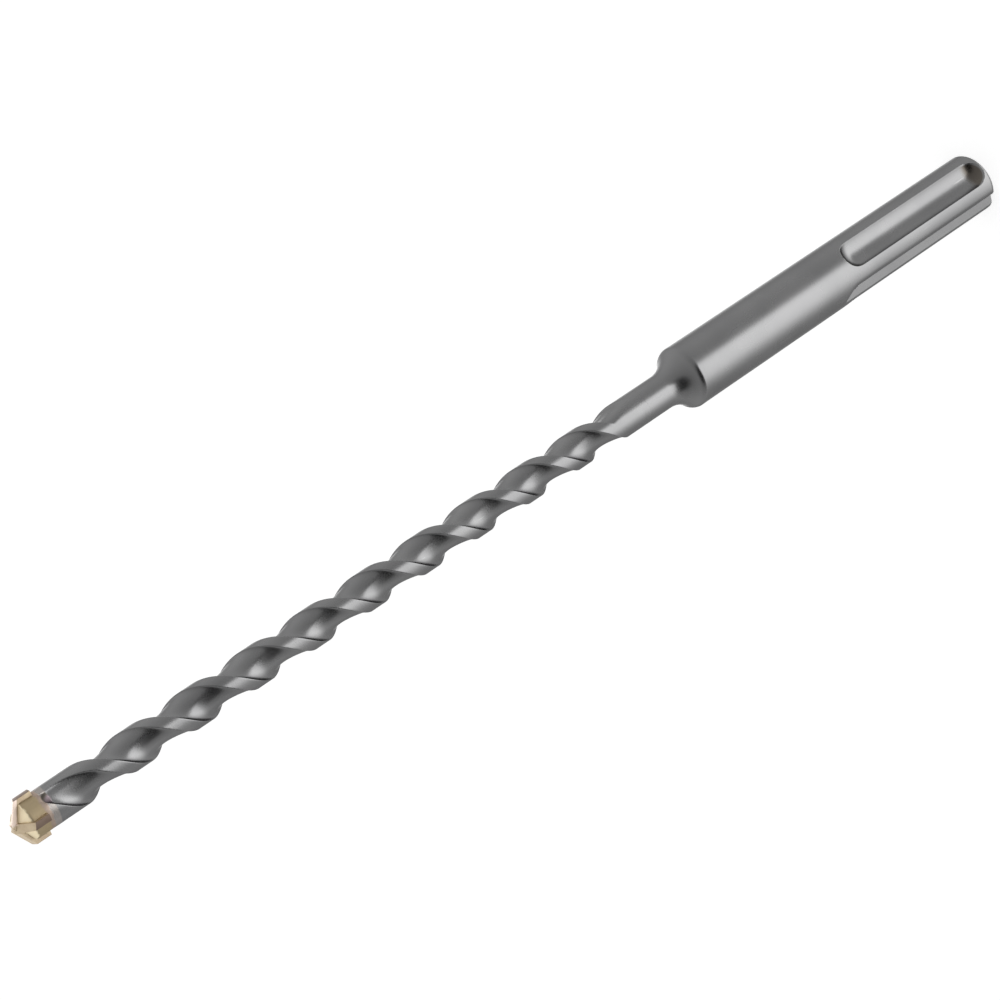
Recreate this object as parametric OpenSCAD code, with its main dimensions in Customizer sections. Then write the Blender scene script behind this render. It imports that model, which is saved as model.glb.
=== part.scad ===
// Drill bit for hammer drilling in masonry and concrete, standing on its struck end, tip up.
// The Z axis is the drill's own axis and z = 0 is the struck end face.
// One steel piece carries the shank, the shoulder, the plain neck, the two-start
// twist and the slotted head. One cross-shaped hard-metal cutter is brazed into the head.

/* [Lengths] */

// Overall length, struck end to the point
total_len = 340; // [260:5:600]
// Length of the thick shank, up to the start of the shoulder
shank_len = 122.4; // [95:0.2:150]
// Plain round neck between the shoulder and the end of the twist
neck_len = 15.4; // [8:0.2:40]
// Distance from the point back to the seat of the cutter
cutter_seat_depth = 7.5; // [5:0.1:12]
// Distance from the point back to where the twist stops under the head
head_len = 7.9; // [7:0.1:16]

/* [Diameters] */

// Shank diameter, the standard size of this holder
shank_d = 18; // [18:0.5:22]
// Diameter of the neck and over the lands of the twist
body_d = 9.8; // [8:0.1:16]
// Cutting diameter over the four wings
cutter_d = 12; // [10:0.5:24]
// Diameter of the round core left between the flutes
core_d = 6.02; // [4:0.1:10]

/* [Shoulder] */

// Radius of the rounding at the shank side and of the fillet at the neck side
shoulder_r = 5.5; // [4.5:0.1:9]
// Slope of the rounding where it leaves the shank, which leaves a faint crease
crease_slope = 8; // [0:1:15]
// Bevel around the struck end face
end_bevel = 0.4; // [0.2:0.1:1.5]

/* [Locking grooves] */

// Radius of the round cutter that makes the two closed grooves
lock_cut_r = 6; // [4:0.1:8]
// Distance from the drill's axis to the middle of that round cutter
lock_cut_off = 12.35; // [11.5:0.05:14]
// Distance from the struck end to the near end of the closed grooves
lock_start = 0.9; // [0.6:0.1:20]
// Distance from the struck end to the far end of the closed grooves
lock_end = 61.3; // [40:0.1:85]
// Direction of the first closed groove around the axis
lock_angle = -76.5; // [-180:0.5:180]

/* [Drive grooves] */

// Distance from the drill's axis to the flat floor of the three open grooves
drive_floor = 7.8; // [7:0.05:8.6]
// Distance from the groove's middle plane to its driving wall
drive_wall_off = 0.55; // [0:0.05:2]
// Radius of the milling cutter that leaves the round far end of the wall
drive_mill_r = 6; // [4:0.1:10]
// Length of the straight driving wall from the struck end
drive_len = 60; // [40:0.5:80]
// Direction of the floor of the first open groove around the axis
drive_angle_a = -130; // [-180:0.5:180]
// Direction of the second open groove
drive_angle_b = -169.5; // [-180:0.5:180]
// Direction of the third open groove
drive_angle_c = 30.5; // [-180:0.5:180]

/* [Twist] */

// Length along the axis for one full turn of the twist
twist_lead = 35.74; // [25:0.1:90]
// Half the angle that one land takes on the round section
land_half = 23; // [12:0.5:40]
// Fullness of the flute, where a small value gives steep walls and a wide floor
flute_power = 0.362; // [0.25:0.01:1]
// How far the flute leans to its steep side, where 1 is even
flute_lean = 1.61; // [1:0.01:2]
// Direction of a land where it crosses the height of the phase mark
land_phase = -90; // [-180:0.5:180]
// Height of the phase mark
phase_z = 171.86; // [100:0.02:300]
// Length over which a flute dies out at the neck
fade_neck = 4.5; // [2:0.1:20]
// Length of the round wall that closes a flute under the head
fade_head = 3.8; // [1:0.1:10]
// Distance from the point back to where the flute's open side runs straight to the head
straight_below_point = 12; // [9:0.1:25]
// Length over which that side bends from the helix to the straight
bend_len = 11; // [4:0.1:20]
// Angle that this bend takes around the axis
bend_turn = 41; // [10:1:80]
// How fast a narrowing flute gets shallower
narrow_power = 0.35; // [0:0.05:1]

/* [Cutter] */

// Direction of the first cutting wing around the axis
wing_angle = -23; // [-180:1:180]
// Thickness of a wing at its outer end
wing_t_out = 1.6; // [1:0.1:4]
// Thickness of a wing at the middle of the cutter
wing_t_in = 2.1; // [1.2:0.1:5]
// Drop of the cutting edge from the middle to the outer corner
edge_drop = 3.1; // [1:0.1:8]
// Slope of the relief behind each cutting edge
relief_slope = 21; // [5:1:35]
// How much lower the second pair of edges is than the first
second_pair_drop = 0.25; // [0:0.05:1]

/* [Head] */

// Height of the steel rim of the head below the point
rim_below_point = 4; // [2:0.1:8]
// Height of the flat middle of the steel below the point
crown_below_point = 1.6; // [0.8:0.1:5]
// Diameter of the flat middle of the steel
crown_d = 2; // [1:0.1:6]

/* [Part shown] */

// Which piece is drawn

/* [Hidden] */

shank_r = shank_d / 2;
body_r = body_d / 2;
core_r = core_d / 2;
cutter_r = cutter_d / 2;

// The shoulder is two arcs of one radius that meet on a common slope.
crease_rise = shoulder_r * (1 - cos(crease_slope));
step_r = shank_r - body_r;
// Slope where the two arcs meet, from the radial step that they share.
meet_slope = acos(1 - (step_r + crease_rise) / (2 * shoulder_r));
shoulder_len = shoulder_r * (2 * sin(meet_slope) - sin(crease_slope));
neck_start = shank_len + shoulder_len;
twist_start = neck_start + neck_len;
twist_end = total_len - head_len;
seat_z = total_len - cutter_seat_depth;
arc_steps = 12;

flute_half = 90 - land_half;
twist_rate = 360 / twist_lead;
straight_z = total_len - straight_below_point;
// A flute starts square to its own helix, so its two sides start at different heights.
end_skew = 0.0423;
// Height of a flute's first cut above the end of the neck.
flute_end_lag = 1.2;
land_steps = 5;
flute_steps = 10;
// Height between two rings of the twist, on its long run and near the head.
ring_gap = 1.35;
head_ring_gap = 0.8;

// Tiny step that keeps the twist's corners inside the round faces that they meet.
ring_inset = 0.02;
// How far the twist runs into the round neck and into the head.
twist_bury = 0.6;
// Overrun of a cut past the face that it opens.
over = 1;

steel = [0.52, 0.52, 0.53];
hard_metal = [0.62, 0.55, 0.45];

// Half section of the shank, shoulder and neck, as points of radius and height.
function shoulder_points() = concat(
    [for (i = [0:arc_steps])
        let (a = crease_slope + (meet_slope - crease_slope) * i / arc_steps)
        [shank_r + crease_rise - shoulder_r * (1 - cos(a)),
         shank_len + shoulder_r * (sin(a) - sin(crease_slope))]],
    [for (i = [1:arc_steps])
        let (a = meet_slope * (1 - i / arc_steps))
        [body_r + shoulder_r * (1 - cos(a)), neck_start - shoulder_r * sin(a)]]);

module round_stock() {
    rotate_extrude($fn = 96)
        polygon(concat(
            [[0, 0], [shank_r - end_bevel, 0], [shank_r, end_bevel]],
            shoulder_points(),
            [[body_r, twist_start], [0, twist_start]]));
}

// The round head above the twist, with a blunt cone between the cutter's wings.
module head_stock() {
    rotate_extrude($fn = 96)
        polygon([
            [0, twist_end], [body_r, twist_end],
            [body_r, total_len - rim_below_point],
            [crown_d / 2, total_len - crown_below_point],
            [0, total_len - crown_below_point]]);
}

// Share of the full flute depth left near its two ends, as a quarter round in z.
function rise(t) = t <= 0 ? 0 : t >= 1 ? 1 : sqrt(1 - (1 - t) * (1 - t));
function depth_share(z, side) =
    rise((z + end_skew * side - twist_start - flute_end_lag) / fade_neck)
    * rise((twist_end - z) / fade_head);

// Side angles are counted from the middle of a flute, so a flute spans from
// -flute_half to up_side. Near the head its open side leaves the helix and runs straight.
function up_side(z) =
    let (below = straight_z - z)
    below > bend_len ? flute_half :
    min(flute_half, below * twist_rate - bend_turn * pow(max(0, below) / bend_len, 2));

// Ring points crowd towards both sides of the flute, where its walls are steep.
function ease(t) = t < 0.5 ? t * (0.7 + 0.6 * t) : 1 - (1 - t) * (0.7 + 0.6 * (1 - t));
function flute_shape(t) = t <= 0 ? 0 : pow(sin(180 * pow(1 - t, flute_lean)), flute_power);

// One ring as pairs of angle and radius: a round land, then a flute, twice.
function ring(z) =
    let (up = up_side(z), width = flute_half + up,
         depth = (body_r - core_r) * pow(width / (2 * flute_half), narrow_power))
    [for (half = [0, 180]) each concat(
        [for (i = [0:land_steps - 1])
            let (first = half - 90 + up, last = half + land_half)
            [first + (last - first) * i / land_steps, body_r - ring_inset]],
        [for (i = [0:flute_steps - 1])
            let (t = ease(i / flute_steps), side = -flute_half + width * t)
            [half + 90 + side,
             body_r - ring_inset - depth * flute_shape(t) * depth_share(z, side)]])];

// The twist is one closed surface: a ring turned evenly with height.
module twist() {
    low_z = twist_start - twist_bury;
    high_z = twist_end + twist_bury;
    bend_z = straight_z - bend_len;
    low_rings = ceil((bend_z - low_z) / ring_gap);
    high_rings = ceil((high_z - bend_z) / head_ring_gap);
    heights = concat(
        [for (k = [0:low_rings - 1]) low_z + (bend_z - low_z) * k / low_rings],
        [for (k = [0:high_rings]) bend_z + (high_z - bend_z) * k / high_rings]);
    rings = len(heights) - 1;
    points = [for (z = heights) each
        let (turn = land_phase + (z - phase_z) * twist_rate)
        [for (p = ring(z)) [p[1] * cos(p[0] + turn), p[1] * sin(p[0] + turn), z]]];
    n = 2 * (land_steps + flute_steps);
    sides = [for (k = [0:rings - 1], i = [0:n - 1])
        let (j = (i + 1) % n) each
        [[k * n + i, (k + 1) * n + i, (k + 1) * n + j], [k * n + i, (k + 1) * n + j, k * n + j]]];
    low = [[for (i = [0:n - 1]) i]];
    high = [[for (i = [0:n - 1]) rings * n + n - 1 - i]];
    polyhedron(points = points, faces = concat(sides, low, high), convexity = 8);
}

// One closed groove: a straight round channel with a ball end at each end.
lock_reach = sqrt(pow(lock_cut_r, 2) - pow(lock_cut_off - shank_r, 2));
module lock_groove() {
    z0 = lock_start + lock_reach;
    z1 = lock_end - lock_reach;
    translate([lock_cut_off, 0, 0]) {
        translate([0, 0, z0]) cylinder(r = lock_cut_r, h = z1 - z0, $fn = 72);
        translate([0, 0, z0]) sphere(r = lock_cut_r, $fn = 72);
        translate([0, 0, z1]) sphere(r = lock_cut_r, $fn = 72);
    }
}

// One open groove: a flat floor along +X and a straight driving wall that
// ends in the quarter round left by the milling cutter.
module drive_groove() {
    depth = shank_r - drive_floor + over;
    translate([drive_floor, -drive_wall_off - 2 * drive_mill_r, -over])
        cube([depth, 2 * drive_mill_r, drive_len + over]);
    translate([drive_floor, -drive_wall_off - drive_mill_r, drive_len])
        rotate([0, 90, 0]) cylinder(r = drive_mill_r, h = depth, $fn = 72);
}

// Outline of one pair of wings seen from the point, widest at the middle.
module wing_pair_outline() {
    polygon([
        [0, -wing_t_in / 2], [cutter_r + over, -wing_t_out / 2],
        [cutter_r + over, wing_t_out / 2], [0, wing_t_in / 2],
        [-cutter_r - over, wing_t_out / 2], [-cutter_r - over, -wing_t_out / 2]]);
}

// Everything under one relief plane: it holds the cutting edge and falls away behind it.
edge_slope = atan(edge_drop / cutter_r);
module under_relief(top) {
    big = 4 * cutter_r;
    translate([0, 0, top])
        rotate([-relief_slope, 0, 0]) rotate([0, edge_slope, 0])
        translate([-big / 2, -big / 2, -big]) cube([big, big, big]);
}

// One pair of wings, left and right of the axis, with its roof of two relief planes.
module wing_pair(drop) {
    top = total_len - drop;
    intersection() {
        translate([0, 0, seat_z]) linear_extrude(cutter_seat_depth + over) wing_pair_outline();
        translate([0, 0, seat_z]) cylinder(r = cutter_r, h = cutter_seat_depth + over, $fn = 96);
        under_relief(top);
        rotate([0, 0, 180]) under_relief(top);
    }
}

module cutter() {
    color(hard_metal)
        rotate([0, 0, wing_angle]) {
            wing_pair(0);
            rotate([0, 0, 90]) wing_pair(second_pair_drop);
        }
}

// The cross-shaped slot in the head has the cutter's own outline.
module cutter_slot() {
    translate([0, 0, seat_z])
        rotate([0, 0, wing_angle])
        linear_extrude(cutter_seat_depth + over) {
            wing_pair_outline();
            rotate(90) wing_pair_outline();
        }
}

module drill_body() {
    color(steel)
        difference() {
            union() {
                round_stock();
                twist();
                head_stock();
            }
            rotate([0, 0, lock_angle]) lock_groove();
            rotate([0, 0, lock_angle + 180]) lock_groove();
            rotate([0, 0, drive_angle_a]) drive_groove();
            rotate([0, 0, drive_angle_b]) drive_groove();
            rotate([0, 0, drive_angle_c]) drive_groove();
            cutter_slot();
        }
}

drill_body();
cutter();
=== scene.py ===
import bpy
import math
import numpy as np
from mathutils import Matrix


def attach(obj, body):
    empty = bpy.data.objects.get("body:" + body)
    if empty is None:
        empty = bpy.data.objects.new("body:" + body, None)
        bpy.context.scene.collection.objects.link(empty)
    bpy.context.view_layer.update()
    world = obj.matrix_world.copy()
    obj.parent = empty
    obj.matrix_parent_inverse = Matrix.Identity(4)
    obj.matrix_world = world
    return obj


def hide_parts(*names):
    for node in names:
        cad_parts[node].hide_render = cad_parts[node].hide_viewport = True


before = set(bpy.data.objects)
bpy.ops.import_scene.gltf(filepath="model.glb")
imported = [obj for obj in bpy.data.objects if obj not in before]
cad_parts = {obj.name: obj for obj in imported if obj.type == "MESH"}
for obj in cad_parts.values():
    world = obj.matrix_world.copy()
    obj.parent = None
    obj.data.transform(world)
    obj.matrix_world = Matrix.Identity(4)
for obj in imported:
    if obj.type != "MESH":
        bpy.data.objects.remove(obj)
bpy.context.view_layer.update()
print("stage 1: packed drill loaded")

mm = 0.001

# camera
camera = {
    "lens": 84.177,                                  # on a 36 mm wide sensor
    "place": (0.0, -0.51883, 0.47798),
    "right": (-0.5596, -0.40229, -0.72462),
    "up": (0.8288, -0.27192, -0.48903),
    "back": (-0.0003, -0.8742, 0.48557),
}


def addCamera(c):
    lensData = bpy.data.cameras.new("photoCamera")
    lensData.lens = c["lens"]
    lensData.sensor_width = 36
    lensData.sensor_fit = "HORIZONTAL"
    lensData.clip_start = 0.02
    lensData.clip_end = 30
    holder = bpy.data.objects.new("photoCamera", lensData)
    bpy.context.scene.collection.objects.link(holder)
    turn = np.array([c["right"], c["up"], c["back"]]).T
    u, _, vt = np.linalg.svd(turn)                   # nearest true rotation
    turn = u @ vt
    m = Matrix(turn.tolist()).to_4x4()
    m.translation = c["place"]
    holder.matrix_world = m
    bpy.context.scene.camera = holder


addCamera(camera)
print("stage 2: camera set")


# mesh from rings
def ringMesh(name, rings, sharpDeg=38.0):
    # rings is rows x columns x 3 in metres: each row is one closed ring round the drill's axis,
    # low to high, and the first and last rings are shrunk to nearly a point, then closed by a fan
    rows, cols = rings.shape[:2]
    k = np.arange(rows - 1)[:, None] * cols
    i = np.arange(cols)[None, :]
    j = (i + 1) % cols
    quads = np.stack([k + i, k + j, k + cols + j, k + cols + i], axis=-1).reshape(-1, 4)
    points = rings.reshape(-1, 3)
    ends = np.array([[0, 0, rings[0, :, 2].mean()], [0, 0, rings[-1, :, 2].mean()]])
    lowId, highId = len(points), len(points) + 1
    top = (rows - 1) * cols
    fanLow = np.stack([j[0], i[0], np.full(cols, lowId)], axis=-1)
    fanHigh = np.stack([top + i[0], top + j[0], np.full(cols, highId)], axis=-1)
    points = np.concatenate([points, ends])
    loops = np.concatenate([quads.ravel(), fanLow.ravel(), fanHigh.ravel()])
    totals = np.concatenate([np.full(len(quads), 4), np.full(2 * cols, 3)])
    starts = np.concatenate([[0], np.cumsum(totals)[:-1]])
    mesh = bpy.data.meshes.new(name)
    mesh.vertices.add(len(points))
    mesh.vertices.foreach_set("co", points.astype(np.float32).ravel())
    mesh.loops.add(len(loops))
    mesh.loops.foreach_set("vertex_index", loops.astype(np.int32))
    mesh.polygons.add(len(totals))
    mesh.polygons.foreach_set("loop_start", starts.astype(np.int32))
    mesh.polygons.foreach_set("loop_total", totals.astype(np.int32))
    mesh.update(calc_edges=True)
    mesh.validate()
    mesh.shade_smooth()
    mesh.set_sharp_from_angle(angle=math.radians(sharpDeg))
    piece = bpy.data.objects.new(name, mesh)
    bpy.context.scene.collection.objects.link(piece)
    return piece


def polar(radius, theta, z):
    # x = r cos(theta), y = r sin(theta) and z, in metres from millimetres and radians
    return np.stack([radius * np.cos(theta), radius * np.sin(theta), z * np.ones_like(radius)], axis=-1) * mm


def softMin(a, b, k):
    # the lower of two heights, rounded over a width k where they cross
    h = np.clip(0.5 + 0.5 * (b - a) / k, 0, 1)
    return b + (a - b) * h - k * h * (1 - h)


def easeIn(t):
    # 3 t^2 - 2 t^3, from 0 to 1 with a level start and finish
    t = np.clip(t, 0, 1)
    return t * t * (3 - 2 * t)


# shank
shank = {
    # lengths in mm
    "shankR": 9.0, "neckR": 4.9, "shankLen": 122.4, "topZ": 139.6,
    "endBevel": 0.4, "bevelZ": 0.12,
    "bulgeR": 2.4, "creaseDeg": 8.0, "turnDeg": 49.0,                           # shoulder
    "lockDeg": -76.5, "lockOff": 12.35, "lockR": 6.0,                           # closed grooves
    "lockStart": 0.9, "lockEnd": 61.3, "endSteep": 1.2, "lockEdge": 0.10,
    "driveDegs": (-130.0, -169.5, 30.5), "driveFloor": 7.25, "driveTiltDeg": 9.0,   # open grooves
    "driveWall": 0.72, "driveMillR": 6.0, "driveLen": 60.0, "driveEdge": 0.04,
    "rollWide": 1.6, "rollDeep": 0.38, "rollFade": 8.0,
    "reachRad": 1.2,                                                            # half a groove at most
    # mesh rows, close together at the ends of the grooves, and lines round the drill
    "fineStep": 0.2, "wideStep": 4.6, "lowRows": 6.6, "midRows": (8.0, 54.0), "endRows": (55.5, 66.4),
    "plainFrom": 67.0,
    "evenLines": 432, "wallLines": 45, "wallSpanDeg": 6.6,
}


def shoulderProfile(s, steps=18):
    # a small arc bulging from the shank, then a hollow one, sized to close on the neck
    a0, a1 = math.radians(s["creaseDeg"]), math.radians(s["turnDeg"])
    r = s["bulgeR"]
    a = np.linspace(a0, a1, steps)
    first = np.stack([s["shankR"] - r * (math.cos(a0) - np.cos(a)),
                      s["shankLen"] + r * (np.sin(a) - math.sin(a0))], axis=-1)
    hollow = (first[-1, 0] - s["neckR"]) / (1 - math.cos(a1))
    neckStart = first[-1, 1] + hollow * math.sin(a1)
    b = np.linspace(a1, 0, steps)[1:]
    second = np.stack([s["neckR"] + hollow * (1 - np.cos(b)), neckStart - hollow * np.sin(b)], axis=-1)
    return np.concatenate([first, second]), neckStart


def lockRadius(s, theta, z, centreDeg):
    # closed groove: distance from the axis at which a ray meets the round mill,
    # c cos(d) - sqrt(q^2 - c^2 sin^2(d)), where q is the mill's radius at that height; beyond each end
    # q^2 = R^2 (1 - (p / R)^(2 k)), steeper than a half ball, with p the way past the end and k the
    # steepness
    k = s["endSteep"]
    reach = s["lockR"] * (1 - ((s["lockOff"] - s["shankR"]) / s["lockR"]) ** 2) ** (0.5 / k)
    z0, z1 = s["lockStart"] + reach, s["lockEnd"] - reach
    beyond = np.maximum(0, np.maximum(z0 - z, z - z1))
    d = (theta - math.radians(centreDeg) + math.pi) % (2 * math.pi) - math.pi
    under = s["lockR"] ** 2 * (1 - (beyond / s["lockR"]) ** (2 * k)) - (s["lockOff"] * np.sin(d)) ** 2
    meets = (under > 0) & (np.abs(d) < s["reachRad"])
    return np.where(meets, s["lockOff"] * np.cos(d) - np.sqrt(np.maximum(under, 0)), 99.0)


def driveRadius(s, theta, z, centreDeg):
    # open groove: flat floor, tilted a little toward the wall, open on its other side; the wall runs
    # beside the middle plane and turns away in a quarter round at the far end; the land sinks toward
    # the wall by deep * (1 - t / wide)^2, with t the way back from it, and less near the far end
    d = (theta - math.radians(centreDeg) + math.pi) % (2 * math.pi) - math.pi
    past = np.maximum(0, z - s["driveLen"])
    width = np.sqrt(np.maximum(s["driveMillR"] ** 2 - past ** 2, 0))
    wall = s["driveWall"] + s["driveMillR"] - width
    side = np.maximum(-np.sin(d), 1e-6)
    floorHit = s["driveFloor"] / np.maximum(np.cos(d - math.radians(s["driveTiltDeg"])), 0.2)
    inside = past < s["driveMillR"]
    near = inside & (np.abs(d) < s["reachRad"])
    hit = np.where((d < 0) & near, np.maximum(floorHit, wall / side), 99.0)
    t = s["shankR"] * np.sin(d) + wall
    fade = easeIn((s["driveLen"] + s["driveMillR"] - z) / s["rollFade"])
    sunk = s["shankR"] - s["rollDeep"] * (1 - t / s["rollWide"]) ** 2 * fade
    return np.minimum(hit, np.where((t > 0) & (t < s["rollWide"]) & near, sunk, 99.0))


def angleLines(s):
    # even lines round the drill plus close lines at every groove edge
    base = np.linspace(-180, 180, s["evenLines"], endpoint=False)
    lockEdge = math.degrees(math.acos((s["shankR"] ** 2 + s["lockOff"] ** 2 - s["lockR"] ** 2)
                                      / (2 * s["shankR"] * s["lockOff"])))
    near = np.array([-0.5, -0.25, 0.0, 0.25, 0.5])
    extra = []
    for centre in (s["lockDeg"], s["lockDeg"] + 180):
        extra += [centre - lockEdge + near, centre + lockEdge + near]
    far = math.degrees(math.acos(s["driveFloor"] / s["shankR"])) - s["driveTiltDeg"]
    wallLines = np.linspace(-s["wallSpanDeg"], s["wallSpanDeg"], s["wallLines"])
    for centre in s["driveDegs"]:
        extra += [centre + wallLines, centre - far + 3 * near]
    lines = (np.concatenate([base] + extra) + 180) % 360 - 180
    lines = np.unique(np.round(lines, 3))
    keep = np.concatenate([[True], np.diff(lines) > 0.04])
    return np.radians(lines[keep])


def addShank(s):
    theta = angleLines(s)
    shoulder, neckStart = shoulderProfile(s)
    low = np.array([[s["shankR"] - s["endBevel"], 0.0], [s["shankR"] - 0.3 * s["endBevel"], s["bevelZ"]],
                    [s["shankR"], s["endBevel"]]])
    straight = np.concatenate([np.arange(s["lockStart"], s["lowRows"], s["fineStep"]),
                               np.arange(*s["midRows"], s["wideStep"]),
                               np.arange(*s["endRows"], s["fineStep"]),
                               np.linspace(s["plainFrom"], s["shankLen"] - 0.3, 9)])
    body = np.stack([np.full_like(straight, s["shankR"]), straight], axis=-1)
    neck = np.stack([np.full(5, s["neckR"]), np.linspace(neckStart + 0.6, s["topZ"], 5)], axis=-1)
    profile = np.concatenate([low, body, shoulder, neck])
    z = profile[:, 1][:, None]
    radius = np.repeat(profile[:, 0][:, None], len(theta), axis=1)
    angle = np.repeat(theta[None, :], len(profile), axis=0)
    for centre in (s["lockDeg"], s["lockDeg"] + 180):
        radius = softMin(radius, lockRadius(s, angle, z, centre), s["lockEdge"])
    for centre in s["driveDegs"]:
        radius = softMin(radius, driveRadius(s, angle, z, centre), s["driveEdge"])
    rings = polar(radius, angle, z)
    shrink = np.array([0.004, 0.3, 0.7, 0.93, 0.99])[:, None, None]
    foot = rings[:1] * np.concatenate([np.repeat(shrink, 2, axis=2), np.ones((5, 1, 1))], axis=2)
    lid = rings[-1:] * np.concatenate([np.repeat(shrink[[3, 0]], 2, axis=2), np.ones((2, 1, 1))], axis=2)
    return ringMesh("shankBody", np.concatenate([foot, rings, lid]))


shankPiece = addShank(shank)
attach(shankPiece, "root")
print("stage 3: shank made")

# twist and head
twist = {
    # lengths in mm, from the struck end
    "outerR": 4.9, "coreR": 3.01, "lead": 35.74, "landHalf": 23.0,
    "power": 0.362, "lean": 1.61, "landDeg": -90.0, "phaseZ": 171.86,           # flute section and turn
    "startZ": 146.8, "fadeNeck": 6.0, "skew": 0.065,                            # where the flutes begin
    "endZ": 332.4, "rampHead": 2.7,                                             # and end under the head
    "straightZ": 328.0, "bendLen": 11.0, "bendTurn": 41.0,                      # bend of their open side
    "narrowPower": 0.35, "leastSide": -0.8,
    "edgeRoundDeg": 2.6, "edgeRound": 0.13,
    # head: its rim is rounded between rimZ and shoulderZ, then a cone rises to the flat crown
    "rimZ": 335.75, "shoulderR": 4.35, "shoulderZ": 336.55, "crownZ": 338.4, "crownR": 1.0,
    # mesh rows: from the low end up to each height, with so many rows
    "lowZ": 139.5, "rows": ((141.5, 4), (157.0, 62), (316.0, 284), (332.5, 96)), "rimRows": 16,
    "coneRows": 14,
    # mesh lines across an edge, a land and a flute, and how they crowd to the flute's sides
    "edgeLines": 6, "landLines": 9, "fluteLines": 62, "crowding": 2.3,
}


def openSide(t, z):
    # angle of the flute's open side from the middle of the flute: on the helix along the drill,
    # then bending to run straight along the axis under the head
    below = t["straightZ"] - z
    half = 90.0 - t["landHalf"]
    bent = below * 360 / t["lead"] - t["bendTurn"] * (np.maximum(below, 0) / t["bendLen"]) ** 2
    return np.where(below > t["bendLen"], half, np.clip(bent, t["leastSide"] * half, half))


def fluteGrid(t, z):
    # angle and radius on each ring: a round land with softened edges, then a flute whose depth is
    # sin(pi u^lean)^power, where u runs across the flute from its open side; both halves are alike
    half = 90.0 - t["landHalf"]
    up = openSide(t, z)[:, None]
    first, last, e = up - 90, t["landHalf"], t["edgeRoundDeg"]
    step = e * (1 - np.sin(np.linspace(np.pi / 2, 0, t["edgeLines"])))[None, :]
    middle = (first + e) + (last - first - 2 * e) * np.linspace(0, 1, t["landLines"])[None, 1:-1]
    landAngle = np.concatenate([first + step, middle, last - step[:, ::-1] + 0 * up], axis=1)[:, :-1]
    level = np.zeros((1, t["landLines"] - 2))
    inward = np.concatenate([1 - step / e, level, 1 - step[:, ::-1] / e], axis=1)[:, :-1]
    landDrop = t["edgeRound"] * (1 - np.sqrt(1 - inward ** 2)) * np.ones_like(up)
    q = np.linspace(0, 1, t["fluteLines"])[:-1]
    c = t["crowding"]
    crowd = np.where(q < 0.5, 0.5 * (2 * q) ** c, 1 - 0.5 * (2 * (1 - q)) ** c)[None, :]
    side = -half + (half + up) * crowd
    wave = np.maximum(np.sin(np.pi * (1 - crowd) ** t["lean"]), 0) ** t["power"]
    full = (t["outerR"] - t["coreR"]) * ((half + up) / (2 * half)) ** t["narrowPower"]
    fluteDrop = t["edgeRound"] + (full - t["edgeRound"]) * wave
    angle = np.concatenate([landAngle, 90 + side], axis=1)
    drop = np.concatenate([landDrop, fluteDrop], axis=1)
    fromFlute = np.mod(angle, 180.0) - 90
    share = (easeIn((z[:, None] + t["skew"] * fromFlute - t["startZ"]) / t["fadeNeck"])
             * np.clip((t["endZ"] - z[:, None]) / t["rampHead"], 0, 1))
    radius = t["outerR"] - drop * share
    return np.concatenate([angle, angle + 180], axis=1), np.concatenate([radius, radius], axis=1)


def addTwist(t):
    below = [t["lowZ"]] + [top for top, _ in t["rows"]]
    parts = [np.linspace(low, top, count)[:-1] for low, (top, count) in zip(below, t["rows"])]
    z = np.concatenate(parts + [np.linspace(below[-1], t["rimZ"], t["rimRows"])])
    turn = t["landDeg"] + (z - t["phaseZ"]) * 360 / t["lead"]
    angle, radius = fluteGrid(t, z)
    theta = np.radians(angle + turn[:, None])
    rings = polar(radius, theta, z[:, None])
    # quarter round over the rim, then a blunt cone between the wings
    a = np.radians(np.linspace(0, 90, 9)[1:])
    inR, upZ = t["outerR"] - t["shoulderR"], t["shoulderZ"] - t["rimZ"]
    coneR = np.concatenate([t["outerR"] - inR * (1 - np.cos(a)),
                            np.linspace(t["shoulderR"], t["crownR"], t["coneRows"])[1:],
                            [t["crownR"] * 0.97, t["crownR"] * 0.5, 0.01]])
    coneZ = np.concatenate([t["rimZ"] + upZ * np.sin(a),
                            np.linspace(t["shoulderZ"], t["crownZ"], t["coneRows"])[1:], [t["crownZ"]] * 3])
    top = theta[-1]
    cone = polar(np.repeat(coneR[:, None], len(top), axis=1), np.repeat(top[None, :], len(coneR), axis=0),
                 coneZ[:, None])
    foot = rings[:1] * np.array([[[0.004, 0.004, 1.0]], [[0.95, 0.95, 1.0]]])
    return ringMesh("twistBody", np.concatenate([foot, rings, cone]))


twistPiece = addTwist(twist)
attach(twistPiece, "root")
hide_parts("drill_body")
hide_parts("drill_body")
print("stage 4: twist and head made")

# cutter
cutter = {"bevel": 0.07, "bevelSteps": 2, "bevelFromDeg": 12}   # mm
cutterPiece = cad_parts["cutter"]
bevel = cutterPiece.modifiers.new("groundEdges", "BEVEL")
bevel.width = cutter["bevel"] * mm
bevel.segments = cutter["bevelSteps"]
bevel.limit_method = "ANGLE"
bevel.angle_limit = math.radians(cutter["bevelFromDeg"])
bevel.harden_normals = False
print("stage 5: cutter edges softened")


# node helpers
def addNode(tree, kind, place=(0, 0), **fields):
    node = tree.nodes.new(kind)
    node.location = place
    for key, value in fields.items():
        setattr(node, key, value)
    return node


def mathNode(tree, op, a, b=None):
    node = addNode(tree, "ShaderNodeMath", operation=op)
    for slotIndex, value in enumerate((a, b)):
        if value is None:
            continue
        if isinstance(value, (int, float)):
            node.inputs[slotIndex].default_value = value
        else:
            tree.links.new(value, node.inputs[slotIndex])
    return node.outputs[0]


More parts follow.
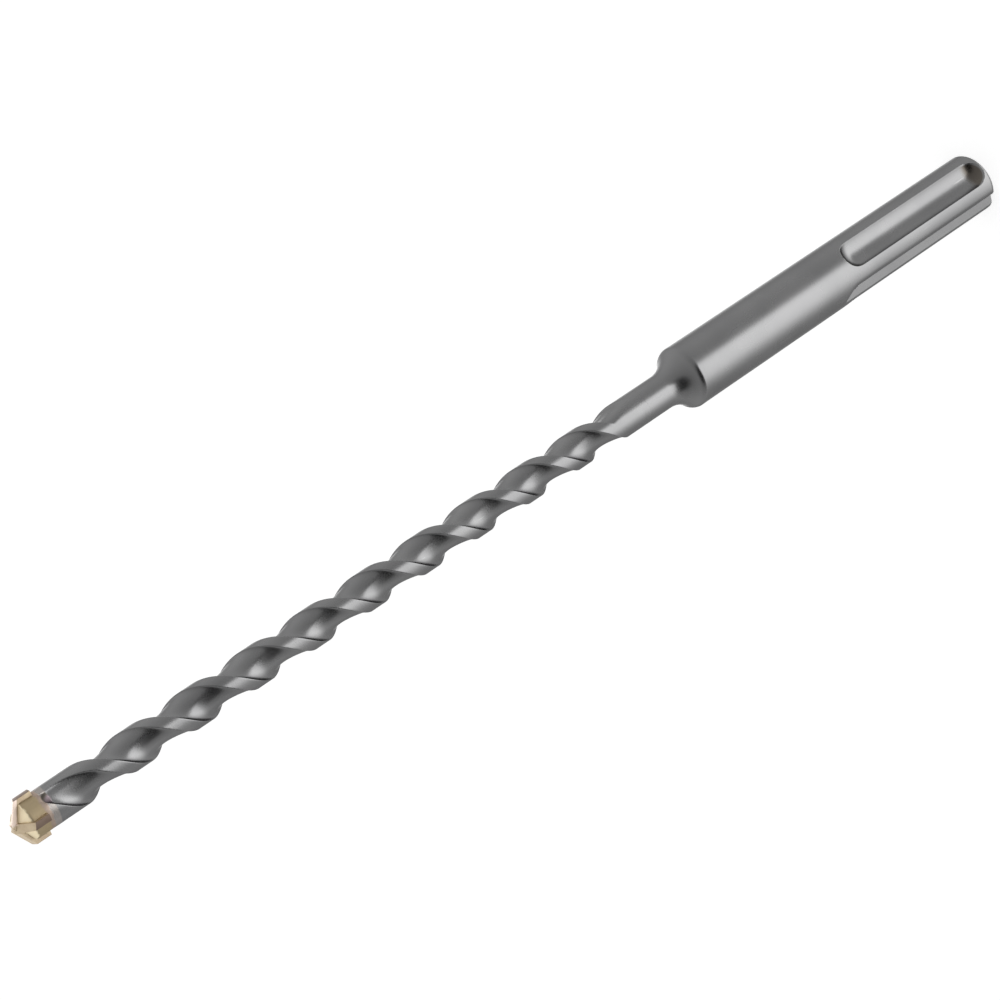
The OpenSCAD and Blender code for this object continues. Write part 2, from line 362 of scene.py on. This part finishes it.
def mixColour(tree, factor, a, b):
    node = addNode(tree, "ShaderNodeMix", data_type="RGBA", clamp_factor=True)
    for socket, value in ((node.inputs[0], factor), (node.inputs[6], a), (node.inputs[7], b)):
        if isinstance(value, (int, float)):
            socket.default_value = value
        elif isinstance(value, tuple):
            socket.default_value = (*value, 1.0)
        else:
            tree.links.new(value, socket)
    return node.outputs[2]


def ramp(tree, value, low, high, toLow=0.0, toHigh=1.0):
    # from one value to another between low and high, soft at both ends
    node = addNode(tree, "ShaderNodeMapRange", interpolation_type="SMOOTHSTEP")
    for key, number in (("From Min", low), ("From Max", high), ("To Min", toLow), ("To Max", toHigh)):
        node.inputs[key].default_value = number
    tree.links.new(value, node.inputs["Value"])
    return node.outputs["Result"]


def noise(tree, vector, scale, detail=3.0, rough=0.5):
    node = addNode(tree, "ShaderNodeTexNoise")
    node.inputs["Scale"].default_value = scale
    node.inputs["Detail"].default_value = detail
    node.inputs["Roughness"].default_value = rough
    tree.links.new(vector, node.inputs["Vector"])
    return node.outputs["Fac"]


def stretched(tree, vector, scale):
    node = addNode(tree, "ShaderNodeVectorMath", operation="MULTIPLY")
    node.inputs[1].default_value = scale
    tree.links.new(vector, node.inputs[0])
    return node.outputs[0]


def fromAxis(tree, place):
    # distance from the drill's axis
    node = addNode(tree, "ShaderNodeVectorMath", operation="LENGTH")
    tree.links.new(stretched(tree, place, (1.0, 1.0, 0.0)), node.inputs[0])
    return node.outputs["Value"]


def towards(tree, way, direction):
    # how far a place or a direction reaches along another direction
    node = addNode(tree, "ShaderNodeVectorMath", operation="DOT_PRODUCT")
    node.inputs[1].default_value = direction
    tree.links.new(way, node.inputs[0])
    return node.outputs["Value"]


def newGroup(name):
    group = bpy.data.node_groups.new(name, "ShaderNodeTree")
    for label, kind in (("Colour", "NodeSocketColor"), ("Rough", "NodeSocketFloat"),
                        ("Height", "NodeSocketFloat")):
        group.interface.new_socket(label, in_out="OUTPUT", socket_type=kind)
    return group, group.nodes.new("NodeGroupOutput")


# drill steel
steelLook = {
    "grey": (0.188, 0.188, 0.189), "darkGrey": (0.166, 0.166, 0.168), "scratch": (0.26, 0.26, 0.26),
    "pale": (0.28, 0.26, 0.245), "pink": (0.33, 0.26, 0.215), "tan": (0.37, 0.30, 0.19),
    "cream": (0.93, 0.82, 0.60), "plumShade": (0.125, 0.098, 0.108), "rampDeepShade": (0.055, 0.048, 0.040),
    "lowGrooveDark": (0.085, 0.074, 0.062),
    "cloudScale": 60, "grainScale": 2600, "latheScale": (60.0, 60.0, 5200.0),
    "scuffScale": (900.0, 900.0, 60.0), "cloudBand": (0.3, 0.7), "scuffBand": (0.66, 0.74),
    "rough": 0.27, "roughSpread": 0.06, "scuffRough": 0.06, "headRough": 0.60,
    "scuffShare": 0.35, "lowGrooveShare": 0.9, "heatShare": 0.95,
    "grainHeight": 0.5, "latheHeight": 0.6, "scuffHeight": 0.3,
    "shankBump": (0.00002, 0.5), "twistBump": (0.00003, 0.6), "edge": 0.45,
    # metres: the turning marks are weaker above the shoulder
    "turnedUp": (0.131, 0.133), "turnedNeck": 0.25,
    # metres: the colour turns darker at the low end of the closed grooves, below the shank's own surface
    "lowGrooveOut": (0.0084, 0.0088), "lowGrooveUp": (0.0040, 0.0066), "lowGrooveWide": (0.0048, 0.0052),
    "lowGrooveAcross": (0.972, 0.233, 0.0),
    # metres: heights at which the heat colours begin and how softly, and their ragged edge
    "heat": (("pale", 0.3297, 0.0003), ("pink", 0.3313, 0.0004), ("tan", 0.3322, 0.0006)),
    "landOut": (0.0043, 0.0046), "raggedScale": 700, "ragged": 0.0012,
    "creamUp": (0.3360, 0.3364), "roughUp": (0.3313, 0.3327),
    # metres: the flutes' ends under the head get plum-tinted painted shade, and a darker painted shade on one
    # side
    "rampUp": (0.3294, 0.3299), "rampOut": (0.0045, 0.0047),
    "deepShadeWay": (0.68, -0.73, 0.0), "deepShadeOut": (0.0037, 0.0043),
}


def drillSteel(look):
    # grey steel with clouds, scuffs and fine grain, turning marks on the shank, a darker tone at the low
    # end of the closed grooves, the heat colours of the brazed head and painted shade on the flutes' ends
    group, out = newGroup("blastedSteel")
    place = addNode(group, "ShaderNodeTexCoord").outputs["Object"]
    xyz = addNode(group, "ShaderNodeSeparateXYZ")
    group.links.new(place, xyz.inputs[0])
    z = xyz.outputs["Z"]
    outward = fromAxis(group, place)
    cloud = noise(group, place, look["cloudScale"], 4)
    grain = noise(group, place, look["grainScale"], 2)
    lathe = noise(group, stretched(group, place, look["latheScale"]), 1.0, 2)
    scuff = noise(group, stretched(group, place, look["scuffScale"]), 1.0, 4, 0.6)
    scuff = ramp(group, scuff, *look["scuffBand"])
    base = mixColour(group, ramp(group, cloud, *look["cloudBand"]), look["darkGrey"], look["grey"])
    base = mixColour(group, mathNode(group, "MULTIPLY", scuff, look["scuffShare"]), base, look["scratch"])
    # the colour turns darker at the low end of the closed grooves
    aside = mathNode(group, "ABSOLUTE", towards(group, place, look["lowGrooveAcross"]))
    lowGrooveDark = mathNode(group, "MULTIPLY", ramp(group, outward, *look["lowGrooveOut"], 1.0, 0.0),
                    ramp(group, z, *look["lowGrooveUp"], 1.0, 0.0))
    lowGrooveDark = mathNode(group, "MULTIPLY", lowGrooveDark, ramp(group, aside, *look["lowGrooveWide"], 1.0, 0.0))
    base = mixColour(group, mathNode(group, "MULTIPLY", lowGrooveDark, look["lowGrooveShare"]), base, look["lowGrooveDark"])
    ragged = mathNode(group, "SUBTRACT", noise(group, place, look["raggedScale"], 3), 0.5)
    ragged = mathNode(group, "MULTIPLY", ragged, look["ragged"])
    up = mathNode(group, "ADD", z, ragged)
    onLand = ramp(group, outward, *look["landOut"])
    for name, begins, soft in look["heat"]:
        mask = mathNode(group, "MULTIPLY", ramp(group, up, begins, begins + soft), onLand)
        base = mixColour(group, mathNode(group, "MULTIPLY", mask, look["heatShare"]), base, look[name])
    # painted shade on the steep ends of the flutes under the head, plum-tinted, darkest on one side
    shadedRamp = mathNode(group, "MULTIPLY", ramp(group, up, *look["rampUp"]),
                      ramp(group, outward, *look["rampOut"], 1.0, 0.0))
    rampDeepShade = ramp(group, towards(group, place, look["deepShadeWay"]), *look["deepShadeOut"])
    base = mixColour(group, mathNode(group, "MULTIPLY", shadedRamp, look["heatShare"]), base,
                     mixColour(group, rampDeepShade, look["plumShade"], look["rampDeepShade"]))
    base = mixColour(group, ramp(group, up, *look["creamUp"]), base, look["cream"])
    group.links.new(base, out.inputs["Colour"])
    roughness = mathNode(group, "ADD", mathNode(group, "MULTIPLY", cloud, look["roughSpread"]),
                         look["rough"] - 0.5 * look["roughSpread"])
    roughness = mathNode(group, "SUBTRACT", roughness, mathNode(group, "MULTIPLY", scuff, look["scuffRough"]))
    onHead = ramp(group, up, *look["roughUp"], 0.0, look["headRough"] - look["rough"])
    group.links.new(mathNode(group, "ADD", roughness, onHead), out.inputs["Rough"])
    turned = mathNode(group, "MULTIPLY", lathe, ramp(group, z, *look["turnedUp"], 1.0, look["turnedNeck"]))
    height = mathNode(group, "ADD", mathNode(group, "MULTIPLY", grain, look["grainHeight"]),
                      mathNode(group, "MULTIPLY", turned, look["latheHeight"]))
    height = mathNode(group, "SUBTRACT", height, mathNode(group, "MULTIPLY", scuff, look["scuffHeight"]))
    group.links.new(height, out.inputs["Height"])
    return group


def metalMaterial(name, group, bumpDistance, bumpStrength, edge=1.0):
    # edge is how bright the metal turns where it is seen at a flat angle
    material = bpy.data.materials.new(name)
    material.use_nodes = True
    tree = material.node_tree
    shader = tree.nodes["Principled BSDF"]
    shader.inputs["Metallic"].default_value = 1.0
    shader.inputs["Specular Tint"].default_value = (edge, edge, edge, 1.0)
    source = addNode(tree, "ShaderNodeGroup", (-500, 0))
    source.node_tree = group
    tree.links.new(source.outputs["Colour"], shader.inputs["Base Color"])
    tree.links.new(source.outputs["Rough"], shader.inputs["Roughness"])
    bump = addNode(tree, "ShaderNodeBump", (-250, -250))
    bump.inputs["Distance"].default_value = bumpDistance
    bump.inputs["Strength"].default_value = bumpStrength
    tree.links.new(source.outputs["Height"], bump.inputs["Height"])
    tree.links.new(bump.outputs["Normal"], shader.inputs["Normal"])
    return material


steelGroup = drillSteel(steelLook)
shankMaterial = metalMaterial("turnedShankSteel", steelGroup, *steelLook["shankBump"], steelLook["edge"])
twistMaterial = metalMaterial("blastedTwistSteel", steelGroup, *steelLook["twistBump"], steelLook["edge"])
shankPiece.data.materials.append(shankMaterial)
twistPiece.data.materials.append(twistMaterial)
print("stage 6: steel laid on")

# hard metal
cutterLook = {
    "tan": (0.46, 0.36, 0.25), "sand": (0.56, 0.46, 0.32), "shadeBrown": (0.12, 0.085, 0.072),
    "pink": (0.86, 0.72, 0.64), "olive": (0.30, 0.28, 0.15),
    "cloudScale": 350, "grainScale": 5200, "cloudBand": (0.35, 0.65),
    "rough": 0.40, "roughSpread": 0.12, "bump": (0.00001, 0.4),
    # tints on the ground top of a wing: along the wing, where it begins and is full, and its share
    "tints": (("olive", (0.39, 0.92, 0.0), 0.0008, 0.0022, 0.5),
              ("pink", (0.92, -0.39, 0.0), 0.0004, 0.0012, 0.92)),
    "edgeSlope": 0.517, "topUp": (0.3389, 0.3392), "shadedEndOut": (0.00592, 0.00597), "shadedEndShare": 0.9,
}


def hardMetal(look):
    # ground hard metal with clouds, tinted on the tops of two wings, where z + slope x (way along the
    # wing) is high; the outer faces of the wings get painted shade, a dark brown
    group, out = newGroup("groundHardMetal")
    place = addNode(group, "ShaderNodeTexCoord").outputs["Object"]
    xyz = addNode(group, "ShaderNodeSeparateXYZ")
    group.links.new(place, xyz.inputs[0])
    cloud = noise(group, place, look["cloudScale"], 3)
    grain = noise(group, place, look["grainScale"], 2)
    base = mixColour(group, ramp(group, cloud, *look["cloudBand"]), look["tan"], look["sand"])
    for name, way, begins, full, share in look["tints"]:
        along = towards(group, place, way)
        high = mathNode(group, "ADD", xyz.outputs["Z"], mathNode(group, "MULTIPLY", along, look["edgeSlope"]))
        mask = mathNode(group, "MULTIPLY", ramp(group, along, begins, full),
                        ramp(group, high, *look["topUp"]))
        base = mixColour(group, mathNode(group, "MULTIPLY", mask, share), base, look[name])
    # painted shade: the outer faces of the wings are painted dark brown
    ends = ramp(group, fromAxis(group, place), *look["shadedEndOut"])
    base = mixColour(group, mathNode(group, "MULTIPLY", ends, look["shadedEndShare"]), base, look["shadeBrown"])
    group.links.new(base, out.inputs["Colour"])
    roughness = mathNode(group, "ADD", mathNode(group, "MULTIPLY", cloud, look["roughSpread"]),
                         look["rough"] - 0.5 * look["roughSpread"])
    group.links.new(roughness, out.inputs["Rough"])
    group.links.new(grain, out.inputs["Height"])
    return group


cutterMaterial = metalMaterial("groundHardMetal", hardMetal(cutterLook), *cutterLook["bump"])
cutterPiece.data.materials.clear()
cutterPiece.data.materials.append(cutterMaterial)
print("stage 7: cutter finished")

# floor and surroundings
studio = {
    "floorHalf": 3.0, "floorColour": (0.80, 0.80, 0.80), "floorRough": 0.9, "floorLift": 0.72,
    "roomLevel": 0.40,                               # on the floor
    "wallLevel": 1.31, "wallFall": 0.60,             # in the metal, falling toward the dark side
    "darkWay": (-0.4401, -0.8969, 0.0438), "darkFrom": 0.727, "darkTo": 0.952, "darkDepth": 0.88,
    "boxLevel": 2.88, "boxWay": (-0.0648, -0.7403, -0.6691),
    # the four sides of the soft box: direction, and where its light begins and is full
    "boxSides": (((-0.877, 0.3622, -0.3158), -0.320, -0.162), ((0.887, 0.2646, -0.3786), -0.839, -0.421),
                 ((0.3435, 0.613, -0.7115), -0.541, -0.481), ((0.1707, -0.6689, 0.7235), -0.651, -0.013)),
    # a weaker light behind the drill
    "backLevel": 1.5, "backWay": (0.2346, 0.8754, -0.4226), "backFrom": 0.88, "backTo": 0.97,
}


def addFloor(s):
    h = s["floorHalf"]
    mesh = bpy.data.meshes.new("paleFloor")
    mesh.from_pydata([(-h, -h, 0), (h, -h, 0), (h, h, 0), (-h, h, 0)], [], [(0, 1, 2, 3)])
    floor = bpy.data.objects.new("paleFloor", mesh)
    bpy.context.scene.collection.objects.link(floor)
    material = bpy.data.materials.new("paleFloor")
    material.use_nodes = True
    tree = material.node_tree
    shader = tree.nodes["Principled BSDF"]
    shader.inputs["Base Color"].default_value = (*s["floorColour"], 1)
    shader.inputs["Roughness"].default_value = s["floorRough"]
    shader.inputs["Emission Color"].default_value = (1, 1, 1, 1)
    path = addNode(tree, "ShaderNodeLightPath", (-600, -300))
    seen = mathNode(tree, "MAXIMUM", path.outputs["Is Glossy Ray"], path.outputs["Is Transmission Ray"])
    seen = mathNode(tree, "MAXIMUM", path.outputs["Is Camera Ray"], seen)
    tree.links.new(mathNode(tree, "MULTIPLY", seen, s["floorLift"]), shader.inputs["Emission Strength"])
    mesh.materials.append(material)
    floor.visible_glossy = False                     # the metal shows the pale room on every side


def addRoom(s):
    # a pale room, darker on the camera's side, with one large soft box and a weaker one behind the
    # drill; the metal sees its walls, the camera sees plain white
    world = bpy.data.worlds.new("paleRoom")
    bpy.context.scene.world = world
    world.use_nodes = True
    tree = world.node_tree
    background = tree.nodes["Background"]
    background.inputs["Color"].default_value = (1, 1, 1, 1)
    way = addNode(tree, "ShaderNodeTexCoord", (-900, -200)).outputs["Generated"]
    facing = towards(tree, way, s["darkWay"])
    half = mathNode(tree, "MULTIPLY", mathNode(tree, "ADD", facing, 1.0), -0.5 * s["wallFall"])
    wall = mathNode(tree, "MULTIPLY", mathNode(tree, "ADD", half, 1.0), s["wallLevel"])
    dark = ramp(tree, facing, s["darkFrom"], s["darkTo"], 1.0, 1 - s["darkDepth"])
    wall = mathNode(tree, "MULTIPLY", wall, dark)
    box = mathNode(tree, "GREATER_THAN", towards(tree, way, s["boxWay"]), 0.0)
    for side, begins, full in s["boxSides"]:
        box = mathNode(tree, "MULTIPLY", box, ramp(tree, towards(tree, way, side), begins, full))
    behind = ramp(tree, towards(tree, way, s["backWay"]), s["backFrom"], s["backTo"], 0.0, s["backLevel"])
    shown = mathNode(tree, "ADD", wall, mathNode(tree, "MULTIPLY", box, s["boxLevel"]))
    shown = mathNode(tree, "ADD", shown, behind)
    path = addNode(tree, "ShaderNodeLightPath", (-600, 0))
    shown = mathNode(tree, "MULTIPLY", shown, path.outputs["Is Glossy Ray"])
    plain = mathNode(tree, "MULTIPLY", path.outputs["Is Diffuse Ray"], s["roomLevel"])
    white = mathNode(tree, "MAXIMUM", path.outputs["Is Camera Ray"], path.outputs["Is Transmission Ray"])
    level = mathNode(tree, "ADD", mathNode(tree, "ADD", shown, plain), white)
    tree.links.new(level, background.inputs["Strength"])


addFloor(studio)
addRoom(studio)
bpy.context.scene.view_settings.view_transform = "Standard"
print("stage 8: studio set")
